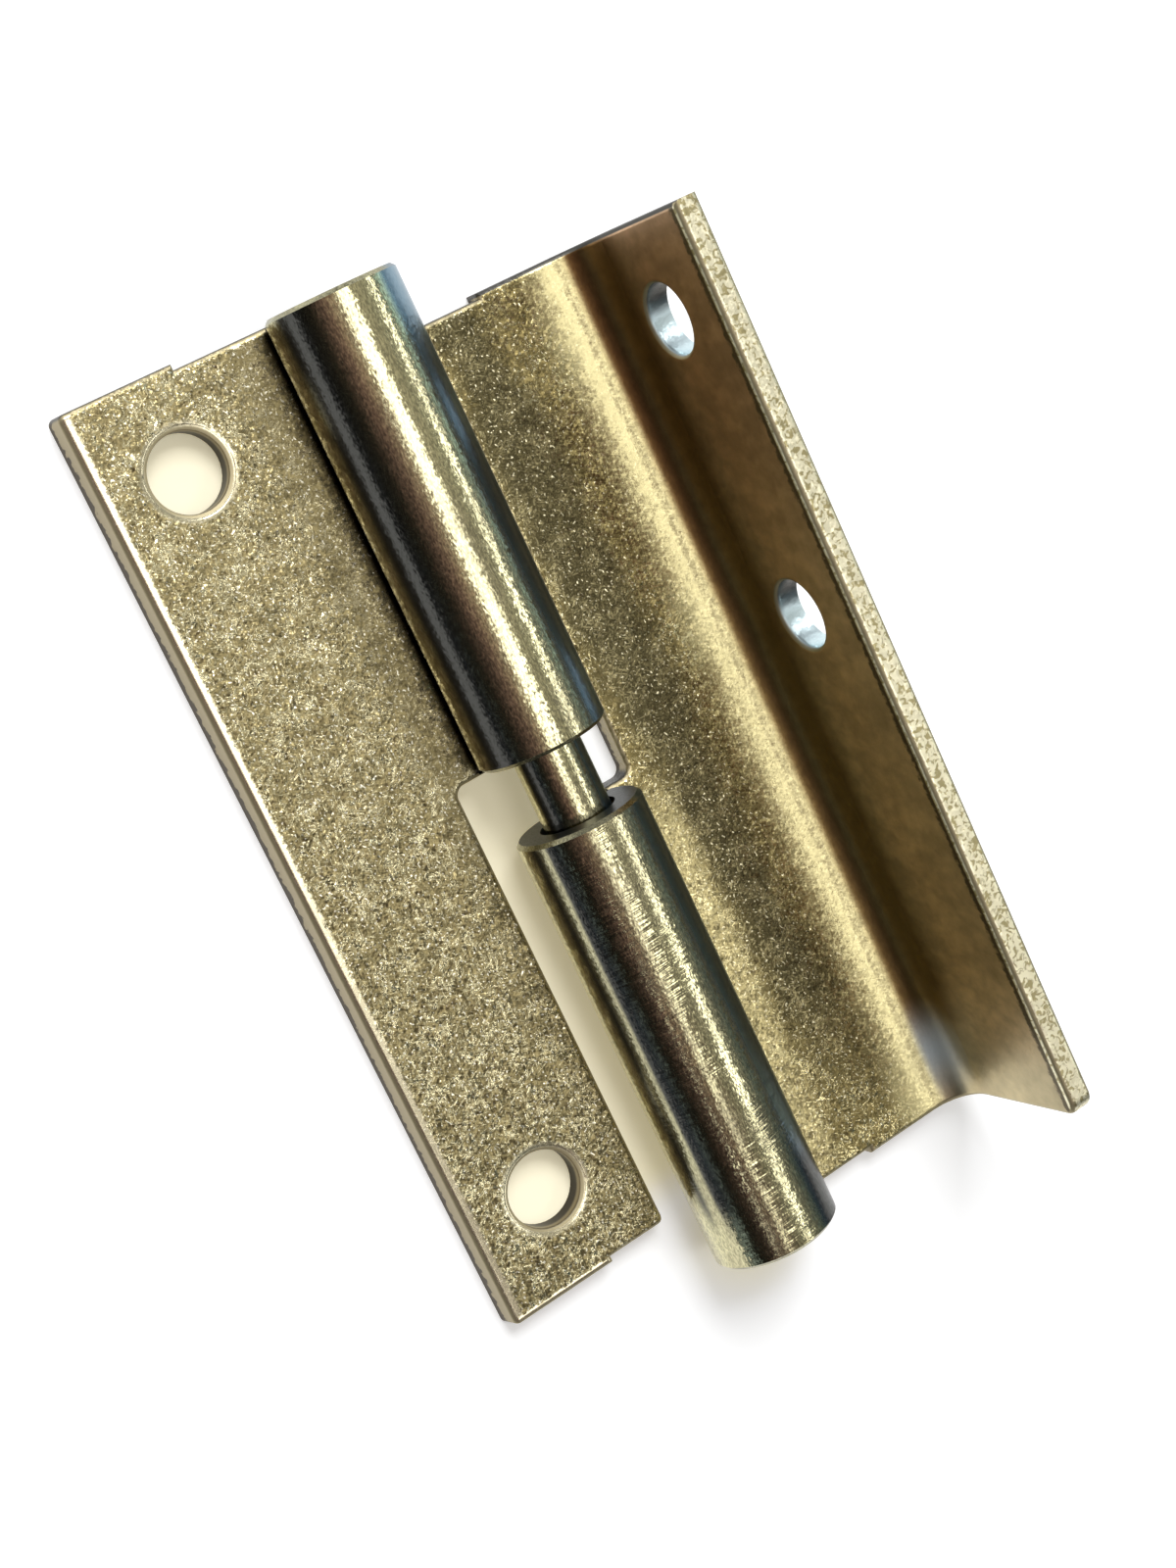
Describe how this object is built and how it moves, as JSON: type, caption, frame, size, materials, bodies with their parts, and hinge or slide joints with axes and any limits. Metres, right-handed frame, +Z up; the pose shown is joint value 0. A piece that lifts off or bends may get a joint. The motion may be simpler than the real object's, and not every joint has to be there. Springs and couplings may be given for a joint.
{
  "type": "lift off hinge",
  "caption": "Lift-off butt hinge of rolled zinc-plated sheet: a flat screw leaf with a fixed pin, and a flanged leaf whose knuckle turns on the pin and slides off it.",
  "frame": {"origin": "midway between the flat leaf's screw holes, on its back face", "axes": "+Z up out of the leaves' faces, +Y along the pin, +X from the flat leaf across the pin to the flanged leaf"},
  "size_m": [0.0436, 0.0774, 0.017],
  "materials": {
    "zinc_sheet": "yellow-passivated zinc plating, grainy on the flats and bright on the rolled knuckles",
    "zinc_pin": "bright zinc-plated pin with fine turning marks"
  },
  "bodies": {
    "flat_half": {"fixed_leaf": "zinc_sheet"},
    "turning_pin": {"hinge_pin": "zinc_pin"},
    "flanged_half": {"lift_off_leaf": "zinc_sheet"}
  },
  "joints": [
    {"name": "leaf_swing", "type": "hinge", "parent": "flat_half", "child": "turning_pin", "pos_m": [0.0138, 0, 0.005], "axis": [0, -1, 0], "range_deg": [-95, 180]},
    {"name": "lift_off", "type": "slide", "parent": "turning_pin", "child": "flanged_half", "axis": [0, -1, 0], "range_m": [-0.00525, 0.07]}
  ]
}
